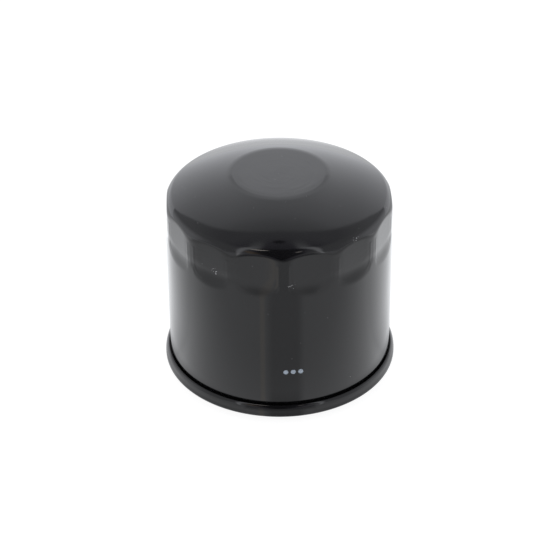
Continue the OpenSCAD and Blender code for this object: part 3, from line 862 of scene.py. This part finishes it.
def window_edge(tree, across, deep):
    """Narrow bright strip that runs down either side of the window."""
    near = tree.times(deep, -1.0)
    off = tree.off(across, tree.plus(tree.times(near, 0.6), 0.12))
    span = tree.times(tree.remap(near, -0.09, -0.01), tree.remap(near, 0.85, 0.7))
    return tree.times(tree.remap(off, 0.045, 0.008), span, 1.25)


def painted_floor_glow(tree, x, y, slant, in_front):
    """Painted light: how bright the table's glow looks in the can: more to the back, less close by and right
    behind the can (painted shadow), far in front, in the painted shade and at a grazing look.
    Places well to one side are spared the last ones."""
    from_can = tree.length(tree.place())
    aside, slanting = tree.size(x), tree.size(slant)
    sideways = tree.remap(slanting, 0.45, 0.7)
    depth = tree.remap(y, -65 * MM, 25 * MM, 0.97, 2.03)
    # Painted shade: a dark stripe on the table in front of the can, deepest close to it
    deepest = tree.remap(from_can, lid_high.x + 4 * MM, lid_high.x + 14 * MM, 0.55, 0.32)
    shade = tree.times(tree.remap(tree.off(slant, SHADE_SLANT), 0.4, 0.2), in_front, deepest)
    far = tree.most(tree.remap(y, -300 * MM, -110 * MM, 0.4, 1.0), sideways)
    back = tree.plus(tree.remap(y, 30 * MM, 150 * MM, 1.0, 0.64), tree.remap(y, 220 * MM, 800 * MM, 0.0, 0.2))
    near_level = tree.remap(slanting, 0.4, 1.2, 0.72, 0.55)
    # Painted contact shadow: the table's glow dimmer close round the can
    contact = tree.remap(from_can, lid_high.x + 2 * MM, lid_high.x + 7.5 * MM, near_level, 1.0)
    steep = tree.xyz(tree.node("NewGeometry").outputs["Incoming"])[2]
    grazing = tree.most(tree.remap(steep, 0.0, 0.5, 0.38, 1.0), tree.remap(y, -30 * MM, 30 * MM), sideways)
    beside = tree.most(
        tree.remap(tree.off(x, 12 * MM), 70 * MM, 130 * MM, 1.0, 0.78),
        tree.remap(y, 70 * MM, 160 * MM),
        tree.remap(aside, 150 * MM, 300 * MM),
    )
    # Painted shadow: the table's glow dimmer right behind the can
    behind = tree.most(
        tree.remap(aside, 28 * MM, 58 * MM, 0.6, 0.94),
        tree.remap(y, 12 * MM, -12 * MM),
        tree.remap(y, 55 * MM, 85 * MM),
    )
    return tree.times(tree.less(depth, shade), far, back, contact, grazing, beside, behind)


def floor_material():
    """White table: lit by the room, but white to the camera, a pale painted glow in reflections with painted
    shadow, shade and a warm streak, and clear from below.
    Slant is about the tangent of twice the turn of the can's wall that mirrors a place."""
    material, tree = new_material("white_table")
    x, y, _ = tree.xyz(tree.place())
    slant = tree.over(x, tree.most(tree.less(-CAN_R / 2, y), 5 * MM))
    in_front = tree.remap(y, 0.0, -20 * MM)
    # Painted highlight: a warm bright streak on the table, seen in the can's reflections
    warm = tree.times(tree.remap(tree.off(slant, WARM_SLANT), 0.07, 0.02), in_front)
    glow = tree.plus(painted_floor_glow(tree, x, y, slant, in_front), tree.times(warm, 0.14))
    tint = tree.mix(warm, grey(1, (0.985, 1, 1.025)), grey(1, (1.04, 1, 0.95)))
    # Painted light: the table's glow, an emission that reflections show in place of the lit table
    mirrored = tree.node("Emission", {"Color": tint, "Strength": glow}).outputs[0]
    grain = tree.noise(40 * MM, detail=2.0)
    lit = tree.node("BsdfDiffuse", {"Color": tree.mix(grain, grey(0.80), grey(0.84))}).outputs[0]
    white = tree.node("Emission", {"Color": grey(1.0), "Strength": 1.0}).outputs[0]
    to_camera = tree.node("AddShader", {0: tree.faded(lit, 0.25), 1: tree.faded(white, 0.93)}).outputs[0]
    path = tree.node("LightPath").outputs
    shown = tree.either(tree.times(path["Is Glossy Ray"], 0.8), lit, mirrored)
    shown = tree.either(path["Is Camera Ray"], shown, to_camera)
    clear = tree.node("BsdfTransparent").outputs[0]
    shown = tree.either(tree.node("NewGeometry").outputs["Backfacing"], shown, clear)
    tree.node("OutputMaterial", {"Surface": shown})
    return material


def table():
    """The floor: it ends in front, where the room's dim window starts."""
    mesh = bpy.data.meshes.new("table")
    corners = [
        (-TABLE_SIDE, TABLE_FRONT, 0),
        (TABLE_SIDE, TABLE_FRONT, 0),
        (TABLE_SIDE, TABLE_BACK, 0),
        (-TABLE_SIDE, TABLE_BACK, 0),
    ]
    mesh.from_pydata(corners, [], [(0, 1, 2, 3)])
    made = bpy.data.objects.new("table", mesh)
    bpy.context.scene.collection.objects.link(made)
    mesh.materials.append(floor_material())


def camera():
    """The photograph's camera."""
    data = bpy.data.cameras.new("camera")
    made = bpy.data.objects.new("camera", data)
    bpy.context.scene.collection.objects.link(made)
    bpy.context.scene.camera = made
    data.sensor_width = CAMERA_SENSOR
    data.lens = CAMERA_LENS
    data.shift_x, data.shift_y = CAMERA_SHIFT
    data.clip_start = CAMERA_NEAR
    away = Vector((0, -math.cos(CAMERA_LIFT), math.sin(CAMERA_LIFT)))
    turn = (-away).to_track_quat("-Z", "Y").to_matrix().to_4x4()
    roll = Matrix.Rotation(CAMERA_ROLL, 4, "Z")
    made.matrix_world = Matrix.Translation(LOOK_AT + CAMERA_DISTANCE * away) @ turn @ roll


# ------------------------------------------------------------------ the filter


def build():
    """Makes the finer pieces in place of their nodes, and gives the other nodes their materials."""
    paint = black_paint("gloss_black", on_can=True)
    rim_paint = black_paint("gloss_black_lid", on_can=False)
    zinc = bare_metal("zinc_plate", 0.56, 0.25 * MM, 0.34)
    tin = bare_metal("tinned_sheet", 0.62, 0.3 * MM, 0.3, stretch=(1, 1, 0.15))
    spring = bare_metal("spring_steel", 0.38, 0.2 * MM, 0.32, stretch=(1, 1, 0.3))
    nitrile = rubber("nitrile_rubber")
    paper = filter_paper("resin_paper")
    compound = sealant("cured_plastisol")

    new_pieces = [
        (can(), "canister", paint, "black_paint"),
        (lid(), "seaming_lid", rim_paint, "black_paint"),
        (gasket(), "base_gasket", nitrile, "nitrile"),
        (base_plate(), "base_plate", zinc, "zinc_steel"),
        (drainback_sleeve(), "drainback_valve", nitrile, "nitrile"),
        (drainback_skirt(), "drainback_valve", nitrile, "nitrile"),
        (coil_spring(), "bypass_spring", spring, "spring_steel"),
    ]
    for piece, node, material, slot in new_pieces:
        dress(piece, material)
        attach(piece, "root")
        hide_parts(node)

    kept_nodes = {
        compound: ["seam_compound", "lower_adhesive", "upper_adhesive"],
        tin: [
            "lower_end_cap", "upper_end_cap", "centre_tube",
            "media_seam_clip", "bypass_case", "bypass_seat",
        ],
        paper: ["pleated_media"],
        nitrile: ["bypass_seal"],
        spring: ["bypass_poppet", "load_spring"],
    }
    for material, nodes in kept_nodes.items():
        for node in nodes:
            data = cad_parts[node].data
            data.materials.clear()
            data.materials.append(material)

    made = {piece.name: piece for piece, *_ in new_pieces}
    skirt, coil = made["drainback_skirt_rubber"], made["bypass_coil"]
    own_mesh(skirt)
    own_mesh(coil)


bpy.context.scene.view_settings.view_transform = "Standard"
camera()
studio()
table()
build()
